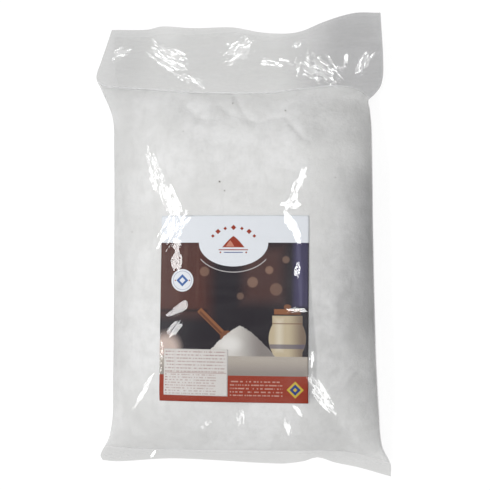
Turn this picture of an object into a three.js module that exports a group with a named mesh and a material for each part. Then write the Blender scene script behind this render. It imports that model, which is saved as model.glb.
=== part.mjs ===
// A sack of salt: a clear film bag that lies on its back, plump with fine salt, with a printed
// label under its film. The film ends in a narrow flat hem at one end and a long flat header
// at the other, where a weld closes the bag.
//
// Millimetres. +X runs across the bag, +Y towards the header, +Z up through the label.
// The origin is the middle of the footprint, on the surface that the sack lies on.

import * as THREE from 'three';

// ---------------------------------------------------------------- driving dimensions

const FILM = 1.2; // both walls of flat film together, with the air between them
const SIDE_HEIGHT = 30; // height of the widest line of the filled body
const CROWN = 44; // rise of the salt above that line
const BELLY = 39; // fall below it, cut off by the surface underneath
const CROWN_ROUNDNESS = 2.9; // higher is flatter on top and rounder at the flanks
const BELLY_ROUNDNESS = 5;
const HEM_SLOPE = 82; // length over which the fill rises from the hem
const SEAM_SLOPE = 90; // and from the weld at the header
const SLOPE_POWER = 0.78; // under 1 makes the ends blunt

const HEM_EDGE_HEIGHT = 5;
const HEM_HEIGHT = 12;
const SEAM_HEIGHT = 20;
const HEADER_GAP = 2.8; // air between the header's two walls at its middle
const HEADER_WAVE = 1.6;
const HEADER_WAVE_LENGTH = 92;

const LABEL = { x: 0.9, y: -80.5, width: 172, length: 214, turn: -0.6, thickness: 0.4 };
const STICKER = { x: -42.9, y: -153.6, width: 75, length: 53, turn: -0.9, thickness: 0.3 };
const SHEET_GAP = 0.45; // clear space between a sheet and what it lies on

const COLUMNS = 32; // divisions across each face of the bag
const HEM_ROWS = 3;
const BODY_ROWS = 40;
const HEADER_ROWS = 9;

// ---------------------------------------------------------------- outline of the bag

// Side edges: [y, x]. The flat film of the hem and the header is wider than the filled body.
const leftEdge = curveThrough([
  [-264, -169], [-257, -171], [-235, -158], [-205, -151.5], [-160, -150], [30, -150.5],
  [120, -152], [155, -155.5], [190, -170.8], [207, -178.6], [226, -174.6], [270, -161.6],
]);
const rightEdge = curveThrough([
  [-277, 178.8], [-262, 178.6], [-240, 169], [-202, 166], [-130, 163], [10, 161],
  [130, 160.8], [157, 158.8], [169, 157.4], [177, 165], [187, 172], [206, 175], [275, 172.3],
]);

// Lines across the bag: [x, y].
const bottomEdge = curveThrough([
  [-169, -264], [-148, -265], [-80, -260.5], [47, -264.5], [75, -261.5], [93, -256.5],
  [113, -262], [142, -267.5], [179, -277.4],
]);
const hemLine = curveThrough([
  [-163, -246.5], [-110, -249.3], [72, -248.5], [131, -249.2], [176, -260.5],
]);
const seamLine = curveThrough([
  [-177, 201.5], [-164, 195.5], [-110, 190], [-48, 184], [38, 181.5], [75, 185], [125, 187.5],
  [147, 181], [160, 170],
]);
const topEdge = curveThrough([
  [-162, 269.6], [-118, 270.4], [-100, 273.8], [-62, 269.8], [-12, 269.5], [28, 260.5],
  [70, 259.5], [105, 269.5], [142, 277.4], [172, 275],
]);

// Height of the header's free edge: [x, z]. Its right corner curls up.
const topEdgeHeight = curveThrough([
  [-162, 9], [-110, 5], [-20, 5], [60, 7], [120, 15], [175, 25],
]);

// Soft creases that the pull of the film leaves in the salt's surface: middle, heading in
// degrees from +X, length, width and height (a trough where negative).
const CREASES = [
  { x: -52, y: 158, heading: -42, length: 62, width: 13, height: -2.4 },
  { x: -11, y: 164, heading: -60, length: 56, width: 12, height: -2.2 },
  { x: 12, y: 152, heading: -52, length: 74, width: 15, height: 2.4 },
  { x: 47, y: 140, heading: 16, length: 70, width: 14, height: -2.6 },
  { x: 76, y: 132, heading: -60, length: 60, width: 14, height: 2 },
  { x: 124, y: 148, heading: 60, length: 90, width: 16, height: -3 },
  { x: -122, y: 150, heading: -58, length: 96, width: 17, height: -2.6 },
  { x: -112, y: -196, heading: 62, length: 96, width: 15, height: -2.6 },
  { x: 112, y: -198, heading: -56, length: 104, width: 17, height: -3 },
  { x: 138, y: -214, heading: -50, length: 80, width: 14, height: 2.4 },
  { x: 36, y: -216, heading: 84, length: 70, width: 18, height: -1.8 },
  { x: -40, y: -214, heading: 96, length: 66, width: 17, height: 1.6 },
];

// ---------------------------------------------------------------- helpers

function mix(from, to, share) {
  return from + (to - from) * share;
}

// A smooth function through [place, value] points, constant beyond its two ends.
function curveThrough(points) {
  const slopeAt = (index) => {
    const before = points[Math.max(index - 1, 0)];
    const after = points[Math.min(index + 1, points.length - 1)];
    return (after[1] - before[1]) / (after[0] - before[0]);
  };
  return (along) => {
    const place = THREE.MathUtils.clamp(along, points[0][0], points.at(-1)[0]);
    let index = 0;
    while (index < points.length - 2 && place > points[index + 1][0]) {
      index += 1;
    }
    const [start, from] = points[index];
    const [stop, to] = points[index + 1];
    const span = stop - start;
    const t = (place - start) / span;
    const leaving = slopeAt(index) * span * t * (1 - t) ** 2;
    const arriving = slopeAt(index + 1) * span * t ** 2 * (t - 1);
    return mix(from, to, t * t * (3 - 2 * t)) + leaving + arriving;
  };
}

// ---------------------------------------------------------------- heights

// How far across the bag a place is: -1 at the left edge, 1 at the right.
function acrossAt(x, y) {
  const left = leftEdge(y);
  const right = rightEdge(y);
  return THREE.MathUtils.clamp((2 * x - left - right) / (right - left), -1, 1);
}

// How full the bag is: 0 at the hem and at the weld, 1 over the long middle.
function fullnessAt(x, y) {
  const fromHem = THREE.MathUtils.clamp((y - hemLine(x)) / HEM_SLOPE, 0, 1);
  const fromSeam = THREE.MathUtils.clamp((seamLine(x) - y) / SEAM_SLOPE, 0, 1);
  const rise = Math.sin((Math.PI / 2) * fromHem) * Math.sin((Math.PI / 2) * fromSeam);
  return rise ** SLOPE_POWER;
}

// Height of the flat line that both walls meet in, where the bag is empty.
function emptyHeightAt(x, y) {
  const along = (y - hemLine(x)) / (seamLine(x) - hemLine(x));
  return mix(HEM_HEIGHT, SEAM_HEIGHT, THREE.MathUtils.clamp(along, 0, 1));
}

function creaseReliefAt(x, y) {
  let relief = 0;
  for (const crease of CREASES) {
    const heading = THREE.MathUtils.degToRad(crease.heading);
    const along = (x - crease.x) * Math.cos(heading) + (y - crease.y) * Math.sin(heading);
    const beside = (y - crease.y) * Math.cos(heading) - (x - crease.x) * Math.sin(heading);
    const distance = (2 * along / crease.length) ** 2 + (beside / crease.width) ** 2;
    relief += crease.height * Math.exp(-distance);
  }
  return relief;
}

// Rounded flank of one face: 1 along the middle of the bag, 0 at its sides.
function flank(across, roundness, fullness) {
  return (1 - Math.abs(across) ** roundness) ** mix(1, 0.5, fullness);
}

function bodyTop(x, y) {
  const across = acrossAt(x, y);
  const fullness = fullnessAt(x, y);
  const middle = mix(emptyHeightAt(x, y), SIDE_HEIGHT, fullness);
  const crown = CROWN * fullness * flank(across, CROWN_ROUNDNESS, fullness);
  const relief = creaseReliefAt(x, y) * fullness * (1 - across ** 4);
  return middle + crown + relief + FILM / 2;
}

function bodyBottom(x, y) {
  const across = acrossAt(x, y);
  const fullness = fullnessAt(x, y);
  const middle = mix(emptyHeightAt(x, y), SIDE_HEIGHT, fullness);
  const belly = BELLY * fullness * flank(across, BELLY_ROUNDNESS, fullness);
  return Math.max(0, middle - belly - FILM / 2);
}

function headerMiddle(x, share) {
  const settled = 1 - (1 - share) ** 2;
  const wave = HEADER_WAVE * Math.sin((2 * Math.PI * x) / HEADER_WAVE_LENGTH);
  return mix(SEAM_HEIGHT, topEdgeHeight(x), settled) + wave * share;
}

// ---------------------------------------------------------------- the bag's rows

// The place on a line across the bag that is the given part of the way across.
function placeOn(line, across) {
  let x = 0;
  let y = line(x);
  for (let pass = 0; pass < 8; pass += 1) {
    x = mix(leftEdge(y), rightEdge(y), (across + 1) / 2);
    y = line(x);
  }
  return { x, y };
}

// One closed ring round the bag: over the top from left to right, back underneath.
function ringOn(line, bottomAt, topAt) {
  const top = [];
  const bottom = [];
  for (let column = 0; column <= COLUMNS; column += 1) {
    const across = Math.sin(Math.PI * (column / COLUMNS - 0.5));
    const { x, y } = placeOn(line, across);
    top.push(new THREE.Vector3(x, y, topAt(x, y)));
    bottom.push(new THREE.Vector3(x, y, bottomAt(x, y)));
  }
  return [...top, ...bottom.reverse()];
}

function hemRing(share) {
  const line = (x) => mix(bottomEdge(x), hemLine(x), share);
  const height = mix(HEM_EDGE_HEIGHT, HEM_HEIGHT, share);
  return ringOn(line, () => height - FILM / 2, () => height + FILM / 2);
}

function bodyRing(share) {
  const eased = mix(share, 0.5 - 0.5 * Math.cos(Math.PI * share), 0.7);
  const line = (x) => mix(hemLine(x), seamLine(x), eased);
  return ringOn(line, bodyBottom, bodyTop);
}

function headerRing(share) {
  const line = (x) => mix(seamLine(x), topEdge(x), share);
  const half = (FILM + HEADER_GAP * Math.sin(Math.PI * share)) / 2;
  const bottomAt = (x) => headerMiddle(x, share) - half;
  const topAt = (x) => headerMiddle(x, share) + half;
  return ringOn(line, bottomAt, topAt);
}

// ---------------------------------------------------------------- solids

// A closed solid through rings of equal length, each one a top row and then, back the other
// way, a bottom row. The first and the last ring are closed by a strip between their rows.
function loft(rings) {
  const size = rings[0].length;
  const columns = size / 2 - 1;
  const last = (rings.length - 1) * size;
  const index = [];
  const quad = (a, b, c, d) => index.push(a, b, c, a, c, d);
  for (let ring = 0; ring < rings.length - 1; ring += 1) {
    for (let side = 0; side < size; side += 1) {
      const here = ring * size;
      const next = (side + 1) % size;
      quad(here + side, here + next, here + size + next, here + size + side);
    }
  }
  for (let column = 0; column < columns; column += 1) {
    const under = size - 1 - column;
    quad(column, under, under - 1, column + 1);
    quad(last + column, last + column + 1, last + under - 1, last + under);
  }
  const geometry = new THREE.BufferGeometry().setFromPoints(rings.flat());
  geometry.setIndex(index);
  geometry.computeVertexNormals();
  return geometry;
}

function sackGeometry() {
  const rings = [];
  for (let row = 0; row < HEM_ROWS; row += 1) {
    rings.push(hemRing(row / HEM_ROWS));
  }
  for (let row = 0; row < BODY_ROWS; row += 1) {
    rings.push(bodyRing(row / BODY_ROWS));
  }
  for (let row = 0; row <= HEADER_ROWS; row += 1) {
    rings.push(headerRing(row / HEADER_ROWS));
  }
  return loft(rings);
}

// A thin rectangular sheet that follows the top of the bag, a given height above it.
function sheetGeometry(sheet, lift, columns, rows) {
  const turn = THREE.MathUtils.degToRad(sheet.turn);
  const rings = [];
  for (let row = 0; row <= rows; row += 1) {
    const top = [];
    const bottom = [];
    for (let column = 0; column <= columns; column += 1) {
      const right = (column / columns - 0.5) * sheet.width;
      const up = (row / rows - 0.5) * sheet.length;
      const x = sheet.x + right * Math.cos(turn) - up * Math.sin(turn);
      const y = sheet.y + right * Math.sin(turn) + up * Math.cos(turn);
      const height = bodyTop(x, y) + lift;
      bottom.push(new THREE.Vector3(x, y, height));
      top.push(new THREE.Vector3(x, y, height + sheet.thickness));
    }
    rings.push([...top, ...bottom.reverse()]);
  }
  return loft(rings);
}

function piece(name, geometry, color, roughness) {
  const material = new THREE.MeshStandardMaterial({ color, roughness, metalness: 0 });
  const mesh = new THREE.Mesh(geometry, material);
  mesh.name = name;
  return mesh;
}

// ---------------------------------------------------------------- the model

const stickerLift = 2 * SHEET_GAP + LABEL.thickness;

const sackOfSalt = new THREE.Group();
sackOfSalt.add(piece('sack', sackGeometry(), 0xdcdcd9, 0.25));
sackOfSalt.add(piece('label_card', sheetGeometry(LABEL, SHEET_GAP, 14, 18), 0x5a3f3c, 0.5));
sackOfSalt.add(piece('sticker', sheetGeometry(STICKER, stickerLift, 7, 5), 0xe9e8e4, 0.5));

export default sackOfSalt;
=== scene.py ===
# A sack of salt: a clear film bag lying on its back, plump with fine salt, with a printed
# paper label and a sticker under its film. Lengths are in millimetres until a mesh is made.

import math

import bpy
import numpy as np
from mathutils import Matrix, Vector


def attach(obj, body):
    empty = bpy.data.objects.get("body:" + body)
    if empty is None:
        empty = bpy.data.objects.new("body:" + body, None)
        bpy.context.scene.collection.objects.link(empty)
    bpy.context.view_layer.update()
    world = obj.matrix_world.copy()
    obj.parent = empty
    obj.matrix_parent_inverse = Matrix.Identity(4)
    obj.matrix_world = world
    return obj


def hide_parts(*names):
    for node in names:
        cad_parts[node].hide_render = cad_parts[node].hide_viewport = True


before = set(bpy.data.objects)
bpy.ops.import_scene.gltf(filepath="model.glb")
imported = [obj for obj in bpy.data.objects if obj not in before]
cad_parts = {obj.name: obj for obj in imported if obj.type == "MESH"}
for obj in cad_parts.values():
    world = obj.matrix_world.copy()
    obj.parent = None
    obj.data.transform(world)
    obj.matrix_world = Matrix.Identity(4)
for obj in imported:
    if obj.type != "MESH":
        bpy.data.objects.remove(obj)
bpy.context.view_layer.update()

MM = 0.001

# ---------------- the solid's dimensions

FILM = 1.2
SIDE_HEIGHT = 30
CROWN = 44
BELLY = 39
CROWN_ROUNDNESS = 2.9
BELLY_ROUNDNESS = 5
HEM_SLOPE = 82
SEAM_SLOPE = 90
SLOPE_POWER = 0.78
HEM_EDGE_HEIGHT = 5
HEM_HEIGHT = 12
SEAM_HEIGHT = 20
HEADER_GAP = 2.8
HEADER_WAVE = 1.6
HEADER_WAVE_LENGTH = 92

LABEL = {"x": 0.9, "y": -80.5, "width": 172, "length": 214, "turn": -0.6, "thickness": 0.3}
STICKER = {"x": -42.9, "y": -153.6, "width": 75, "length": 53, "turn": -0.9, "thickness": 0.2}

CREASES = [  # middle x and y, heading in degrees from +X, length, width, height
    (-52, 158, -42, 62, 13, -2.4),
    (-11, 164, -60, 56, 12, -2.2),
    (12, 152, -52, 74, 15, 2.4),
    (47, 140, 16, 70, 14, -2.6),
    (76, 132, -60, 60, 14, 2),
    (124, 148, 60, 90, 16, -3),
    (-122, 150, -58, 96, 17, -2.6),
    (-112, -196, 62, 96, 15, -2.6),
    (112, -198, -56, 104, 17, -3),
    (138, -214, -50, 80, 14, 2.4),
    (36, -216, 84, 70, 18, -1.8),
    (-40, -214, 96, 66, 17, 1.6),
]

# ---------------- what the film adds

LINER_LEFT = ((200, -152.8), (262, -157.9))  # y and x of two points on the liner's left edge
LINER_RIGHT = 0.985  # how far across the bag its right edge is
LABEL_LIFT = 0.1  # of the paper's underside over the solid's top
FILM_LIFT = 1  # of the film over the solid's top where it covers the label
LIFT_RAMP = 9  # width of the slope in the film beside the label
SALT_INSET = 0.9  # of the salt's top under the solid's, where the fill is thick
EDGE_INSET = 0.25  # and at its thin edges
SALT_LUMP = 0.25  # the most that the salt's lumps rise
FILM_SAG = 0.5  # the most that the film sinks under the solid's top, where the fill is thick
EDGE_SAG = 0.1  # and at its thin edges
LABEL_SAG = 0.3  # and over the label
THICK = 8  # height of fill over its widest line that counts as thick
GROUND_GAP = 0.25  # between the film and the salt underneath

FILM_COLUMNS = 232  # a multiple of BACK_STEP
BACK_STEP = 4
HEM_ROWS = 9
BODY_ROWS = 272
HEADER_ROWS = 56
SALT_COLUMNS = 152
SALT_ROWS = 232

WELD_WIDTH = 2.2  # from the middle of the seam to where the film is plain again
SHADE_FROM = 40  # x where the header's right side starts to be painted darker, a painted shade
SHADE_RAMP = 90  # and how far on it is painted darkest
SLACK_LIGHTENING = 0.75  # how much lighter the film's tint is painted where it is slack, painted light that makes up for what its mirror takes
FRONT_SEED = 5
BACK_SEED = 9
LINER_SEED = 13
SPECK_SEED = 41
FILM_LUMPS = (0.45, 42), (0.16, 17)  # height and cell of each layer of lumps
SALT_LUMPS = (0.35, 30), (0.26, 12), (0.14, 6)
SALT_SEED = 21

# The film's tints where it is plain, where it lies flat on the hem and header (darker, and on the
# hem a painted shade) and where it is painted darker still, a painted shade; how much light it
# scatters on the body and in the header, and its shine where it clings and where it is slack, on
# the body and beyond.
OUTER_FILM = {
    "tints": ((0.86, 0.86, 0.859, 1), (0.815, 0.815, 0.812, 1), (0.69, 0.69, 0.692, 1)),
    "hazes": (0.006, 0.04),
    "shines": (0.25, 2.0, 2.0),
}
INNER_FILM = {
    "tints": ((0.985, 0.985, 0.984, 1),) * 3,
    "hazes": (0.012, 0.012),
    "shines": (0.25, 1.2, 1.2),
}

# ---------------- camera and lamps

CAMERA_TARGET = (8.3, -4, 25)
CAMERA_DISTANCE = 1200
CAMERA_TURN = 7  # degrees from straight above, towards +X
CAMERA_TILT = 4.5  # and towards -Y
CAMERA_LENS = 73.5
CAMERA_SENSOR = 36
FLOOR_HALF = 20000
FLOOR_DROP = 0.05

LAMPS = [  # name, place, what it faces, width, length and power in watts
    ("left_strip", (-800, 250, 1500), (0, 250, 60), 220, 2300, 12.5),
    ("right_strip", (330, 250, 1750), (20, 250, 60), 150, 2000, 10.2),
    ("front_strip", (110, -1280, 900), (0, -200, 40), 160, 1000, 3),
    ("back_panel", (-60, 1500, 900), (0, 220, 20), 900, 200, 3.4),
]
WORLD = {"left": 0.536, "right": 0, "front": 0.22, "top": 0.19}


# ---------------- helpers


def mix(start, stop, share):
    return start + (stop - start) * share


def smooth(share):
    share = np.clip(share, 0, 1)
    return share * share * (3 - 2 * share)


def turned(x, y, heading):
    """A place as seen along a heading in degrees from +X: how far along and to its left."""
    cos, sin = math.cos(math.radians(heading)), math.sin(math.radians(heading))
    return x * cos + y * sin, y * cos - x * sin


def curve_through(points):
    """A smooth function through (place, value) points, constant beyond its two ends."""
    places, values = np.array(points, float).T
    order = np.arange(len(places))
    before = np.maximum(order - 1, 0)
    after = np.minimum(order + 1, len(places) - 1)
    slopes = (values[after] - values[before]) / (places[after] - places[before])

    def curve(along):
        place = np.clip(along, places[0], places[-1])
        index = np.clip(np.searchsorted(places, place) - 1, 0, len(places) - 2)
        span = places[index + 1] - places[index]
        t = (place - places[index]) / span
        leaving = slopes[index] * span * t * (1 - t) ** 2
        arriving = slopes[index + 1] * span * t**2 * (t - 1)
        return mix(values[index], values[index + 1], t * t * (3 - 2 * t)) + leaving + arriving

    return curve


class Noise:
    """Smooth noise from -1 to 1 over the plane, with lumps about cell across."""

    SIZE = 64

    def __init__(self, seed, cell):
        self.lattice = np.random.default_rng(seed).uniform(-1, 1, (self.SIZE, self.SIZE))
        self.cell = cell

    def __call__(self, x, y):
        column, row = np.floor(x / self.cell), np.floor(y / self.cell)
        s = smooth(x / self.cell - column)
        t = smooth(y / self.cell - row)
        i, j = column.astype(int), row.astype(int)

        def value(right, up):
            return self.lattice[(i + right) % self.SIZE, (j + up) % self.SIZE]

        low = mix(value(0, 0), value(1, 0), s)
        high = mix(value(0, 1), value(1, 1), s)
        return mix(low, high, t)


def layered(seed, layers, x, y):
    """Noise in layers, each with its height and cell."""
    return sum(height * Noise(seed + n, cell)(x, y) for n, (height, cell) in enumerate(layers))


# ---------------- outline of the bag

left_edge = curve_through([
    (-264, -169), (-257, -171), (-235, -158), (-205, -151.5), (-160, -150), (30, -150.5),
    (120, -152), (155, -155.5), (190, -170.8), (207, -178.6), (226, -174.6), (270, -161.6),
])
right_edge = curve_through([
    (-277, 178.8), (-262, 178.6), (-240, 169), (-202, 166), (-130, 163), (10, 161),
    (130, 160.8), (157, 158.8), (169, 157.4), (177, 165), (187, 172), (206, 175), (275, 172.3),
])
bottom_edge = curve_through([
    (-169, -264), (-148, -265), (-80, -260.5), (47, -264.5), (75, -261.5), (93, -256.5),
    (113, -262), (142, -267.5), (179, -277.4),
])
hem_line = curve_through([
    (-163, -246.5), (-110, -249.3), (72, -248.5), (131, -249.2), (176, -260.5),
])
seam_line = curve_through([
    (-177, 201.5), (-164, 195.5), (-110, 190), (-48, 184), (38, 181.5), (75, 185), (125, 187.5),
    (147, 181), (160, 170),
])
top_edge = curve_through([
    (-162, 269.6), (-118, 270.4), (-100, 273.8), (-62, 269.8), (-12, 269.5), (28, 260.5),
    (70, 259.5), (105, 269.5), (142, 277.4), (172, 275),
])
top_edge_height = curve_through([
    (-162, 9), (-110, 5), (-20, 5), (60, 7), (120, 15), (175, 25),
])
liner_drop = curve_through([(-158, 9.5), (-80, 9), (-30, 7.5), (12, 5), (172, 4)])


def across_at(x, y):
    left, right = left_edge(y), right_edge(y)
    return np.clip((2 * x - left - right) / (right - left), -1, 1)


def fullness_at(x, y):
    from_hem = np.clip((y - hem_line(x)) / HEM_SLOPE, 0, 1)
    from_seam = np.clip((seam_line(x) - y) / SEAM_SLOPE, 0, 1)
    rise = np.sin(math.pi / 2 * from_hem) * np.sin(math.pi / 2 * from_seam)
    return rise**SLOPE_POWER


def empty_height_at(x, y):
    along = (y - hem_line(x)) / (seam_line(x) - hem_line(x))
    return mix(HEM_HEIGHT, SEAM_HEIGHT, np.clip(along, 0, 1))


def crease_relief_at(x, y):
    relief = np.zeros_like(x)
    for middle_x, middle_y, heading, length, width, height in CREASES:
        along, beside = turned(x - middle_x, y - middle_y, heading)
        relief += height * np.exp(-((2 * along / length) ** 2) - (beside / width) ** 2)
    return relief


def flank(across, roundness, fullness):
    return (1 - np.abs(across) ** roundness) ** mix(1, 0.5, fullness)


def body_at(x, y):
    """Heights of the filled body's widest line, its top and its underside."""
    across = across_at(x, y)
    fullness = fullness_at(x, y)
    middle = mix(empty_height_at(x, y), SIDE_HEIGHT, fullness)
    crown = CROWN * fullness * flank(across, CROWN_ROUNDNESS, fullness)
    relief = crease_relief_at(x, y) * fullness * (1 - across**4)
    belly = BELLY * fullness * flank(across, BELLY_ROUNDNESS, fullness)
    top = middle + crown + relief + FILM / 2
    return middle, top, np.maximum(0, middle - belly - FILM / 2)


def header_middle(x, share):
    settled = 1 - (1 - share) ** 2
    wave = HEADER_WAVE * np.sin(2 * math.pi * x / HEADER_WAVE_LENGTH)
    return mix(SEAM_HEIGHT, top_edge_height(x), settled) + wave * share


def place_on(line, across):
    x = np.zeros_like(across)
    y = line(x)
    for _ in range(8):
        x = mix(left_edge(y), right_edge(y), (across + 1) / 2)
        y = line(x)
    return x, y


def row_between(low, high, share, across):
    """A row of places across the bag, a share of the way from one line to another."""
    return place_on(lambda x: mix(low(x), high(x), share), across)


# ---------------- meshes


def add_object(name, data):
    thing = bpy.data.objects.new(name, data)
    bpy.context.scene.collection.objects.link(thing)
    return thing


def mesh_object(name, vertices, faces, body="root"):
    mesh = bpy.data.meshes.new(name)
    mesh.from_pydata((np.asarray(vertices) * MM).tolist(), [], faces)
    mesh.polygons.foreach_set("use_smooth", [True] * len(mesh.polygons))
    mesh.update()
    thing = add_object(name, mesh)
    if body:
        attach(thing, body)
    return thing


def grid_faces(rows, columns, first=0, flip=False):
    corner = first + np.arange(rows - 1)[:, None] * columns + np.arange(columns - 1)
    quads = np.stack([corner, corner + 1, corner + columns + 1, corner + columns], -1)
    quads = quads.reshape(-1, 4)
    return (quads[:, ::-1] if flip else quads).tolist()


def shell(front, back, close_start=True, close_end=True):
    """Vertices and faces of two walls joined along their sides and, if asked, their ends.
    Each wall is rows of points. The back may have fewer columns, at the same two sides."""
    rows, columns = front.shape[:2]
    back_columns = back.shape[1]
    step = (columns - 1) // (back_columns - 1)
    vertices = np.concatenate([front.reshape(-1, 3), back.reshape(-1, 3)])
    behind = rows * columns
    faces = grid_faces(rows, columns) + grid_faces(rows, back_columns, behind, flip=True)
    for row in range(rows - 1):
        here, there = row * columns, behind + row * back_columns
        faces.append((here, here + columns, there + back_columns, there))
        here += columns - 1
        there += back_columns - 1
        faces.append((here, there, there + back_columns, here + columns))
    for closed, row, forward in ((close_start, 0, False), (close_end, rows - 1, True)):
        if not closed:
            continue
        for column in range(back_columns - 1):
            start = row * columns + column * step
            under = behind + row * back_columns + column
            face = [*range(start, start + step + 1), under + 1, under]
            faces.append(face if forward else face[::-1])
    return vertices, faces


def columns_across(count):
    """Places across the bag, from -1 to 1, closer together on the steep flanks."""
    even = np.linspace(-1, 1, count + 1)
    return mix(even, np.sin(math.pi / 2 * even), 0.55)


# ---------------- the film's creases

# Where the film hangs loose in flat, crumpled folds: the middle of the patch, its heading in
# degrees, its half length along that heading and half width, how many folds it has, the spread
# of their headings, their length, half width and the slope of their sides, the slopes of the
# whole patch to the right and up, and how crumpled it is.
SLACK_PATCHES = [
    # the left shoulder, down to the label and its left edge
    ((-90, 74), -71, (42, 8), 26, 8, (14, 44), (0.6, 2.2), (0.02, 0.1), (0.126, 0), 0.22),
    ((-71, 45), -66, (19, 7), 24, 12, (10, 32), (1.2, 3.2), (0, 0.05), (0.141, 0), 0.12),
    ((-69, 14), 56, (20, 15), 26, 8, (20, 44), (0.5, 2), (0.02, 0.1), (0.14, 0), 0.16),
    ((-65, -20), -84, (14, 6), 5, 8, (16, 28), (3, 6), (0, 0.05), (0.144, 0), 0.03),
    ((-66, -84), 25, (12, 5), 7, 16, (12, 28), (1.6, 4.6), (0, 0.06), (0.142, 0), 0.08),
    ((-70, -105), 52, (10, 4), 6, 16, (12, 22), (1.4, 3.6), (0, 0.06), (0.14, 0), 0.08),
    ((-104, -173), 56, (13, 2.2), 14, 6, (10, 30), (0.8, 2.4), (0, 0.1), (0.108, 0.14), 0.12),
    ((-114, -190), 50, (11, 1.5), 5, 5, (10, 20), (0.4, 0.9), (0, 0.1), (0.1, 0.17), 0.12),
    # the right shoulder, the label's right edge and its foot
    ((75, 60), 71, (21, 3.6), 22, 9, (10, 32), (1, 3.2), (0, 0.05), (-0.112, 0), 0.09),
    ((68, 39), 18, (8, 5), 18, 28, (5, 14), (0.8, 2.4), (0, 0.05), (-0.115, 0), 0.1),
    ((69, 13), -62, (12, 4), 15, 7, (12, 30), (1.2, 3.8), (0, 0.03), (-0.113, 0), 0.06),
    ((75, -34), 80, (9, 2), 6, 10, (8, 18), (1.2, 2.6), (0, 0.05), (-0.11, 0), 0.05),
    ((75, -83), 2, (9, 3), 6, 12, (8, 18), (1.4, 3.2), (0, 0.06), (-0.11, 0), 0.05),
    ((90, -142), 90, (16, 1.6), 11, 20, (3, 8), (0.6, 1.4), (0, 0.2), (-0.099, 0.03), 0.12),
    ((103, -181), -55, (19, 6), 40, 9, (10, 34), (0.9, 3.4), (0, 0.1), (-0.036, 0.4), 0.14),
    # below the label, on the hem and along the label's lower left edge
    ((74, -196), -55, (6, 1.4), 6, 7, (6, 12), (0.8, 2), (0, 0.1), (-0.049, 0.5), 0.08),
    ((9, -205), 86, (10, 8), 7, 6, (8, 22), (0.3, 0.8), (0.05, 0.2), (-0.12, 0.55), 0.1),
    ((60, -216), 88, (10, 10), 8, 8, (6, 20), (0.3, 0.8), (0.05, 0.2), (-0.06, 0.55), 0.12),
    ((-34, -215), 36, (7, 2), 5, 16, (4, 8), (0.7, 1.5), (0.05, 0.2), (-0.172, 0.55), 0.12),
    ((-106, -256), 48, (4, 0.6), 3, 3, (8, 14), (0.6, 1.1), (0.1, 0.3), (0.106, 0.12), 0.05),
    ((-84, -134), 88, (22, 1.4), 8, 5, (6, 20), (0.3, 0.8), (0, 0.1), (0.13, 0.02), 0.12),
    # the header, from its left end to its right
    ((-150, 239), 20, (11, 8), 26, 50, (4, 12), (0.7, 2), (0.08, 0.3), (0.055, -0.17), 0.34),
    ((-91, 234), -38, (25, 13), 62, 24, (8, 30), (0.7, 2.6), (0.05, 0.26), (0.098, -0.17), 0.3),
    ((-62, 202), -20, (17, 5), 18, 20, (5, 16), (0.5, 1.5), (0.08, 0.28), (0.111, -0.2), 0.36),
    ((-1, 238), 30, (17, 12), 60, 60, (6, 22), (0.6, 2.2), (0.06, 0.3), (0.164, -0.15), 0.34),
    ((44, 221), -5, (21, 4), 20, 24, (4, 14), (0.6, 1.6), (0.08, 0.3), (-0.126, -0.137), 0.32),
    ((72, 243), 50, (4, 4), 8, 40, (3, 7), (0.5, 1.3), (0.1, 0.3), (0.217, -0.14), 0.3),
    ((98, 211), -35, (27, 15), 66, 70, (8, 34), (0.2, 0.8), (0.08, 0.34), (-0.089, -0.11), 0.3),
    ((130, 218), 82, (10, 2), 8, 8, (8, 22), (0.6, 1.6), (0.1, 0.3), (-0.067, -0.02), 0.14),
    ((150, 214), 70, (12, 8), 32, 40, (4, 16), (0.5, 1.7), (0.1, 0.34), (-0.054, 0), 0.34),
]

SPECKS = [  # x, y and size
    (-15.5, 66.3, 1.7), (-9.6, 55.6, 1.3), (59.5, 152.8, 1.4), (-4.6, 165.6, 1.3),
    (66, -54, 1.0), (118, 70, 0.9), (-122, 10, 0.9), (-60, 128, 0.9),
]
SPECK_RISE = 0.25  # of a speck's middle over the salt

LOOSE_CREASES = 170  # low ones, all over the film
SLACK_MARGIN = 1.4  # how far beside a crease the film is still slack

# Folds in the salt and its film: the points along each valley, the width of its steep right
# side and its depth. The left side is wider.
FOLDS = [
    ([(-3, 176), (6, 158), (16, 142), (27, 136), (40, 142), (59, 145), (74, 126), (80, 118)], 3, 2.7),
    ([(-62, 164), (-46, 146), (-28, 143), (-8, 148)], 3.2, 1.9),
    ([(-22, 164), (-6, 150), (14, 142)], 3.2, 1.8),
    ([(-34, 178), (-48, 164), (-62, 158)], 4, 1.3),
    ([(-20, 146), (-26, 118), (-22, 96)], 6, 0.7),
    ([(16, 142), (10, 112)], 6, 0.7),
    ([(112, 172), (96, 150), (104, 126)], 6, 0.9),
    ([(86, 176), (60, 158), (44, 156)], 5, 0.8),
    ([(-104, 168), (-98, 148), (-112, 128)], 6, 0.8),
    ([(126, 60), (112, 40), (118, 12), (108, -14)], 8, 0.7),
    ([(-128, 40), (-120, 8), (-126, -30)], 8, 0.5),
    ([(-140, -238), (-108, -214), (-92, -186)], 6, 0.9),
    ([(150, -246), (126, -222), (96, -178)], 6, 1.1),
    ([(-20, 96), (18, 84), (46, 92)], 9, 0.5),
]
FOLD_SOFTNESS = 1.6  # half width of the round bottom of a fold's valley
FOLD_LEAN = 2.2  # how much wider its left side is
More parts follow.
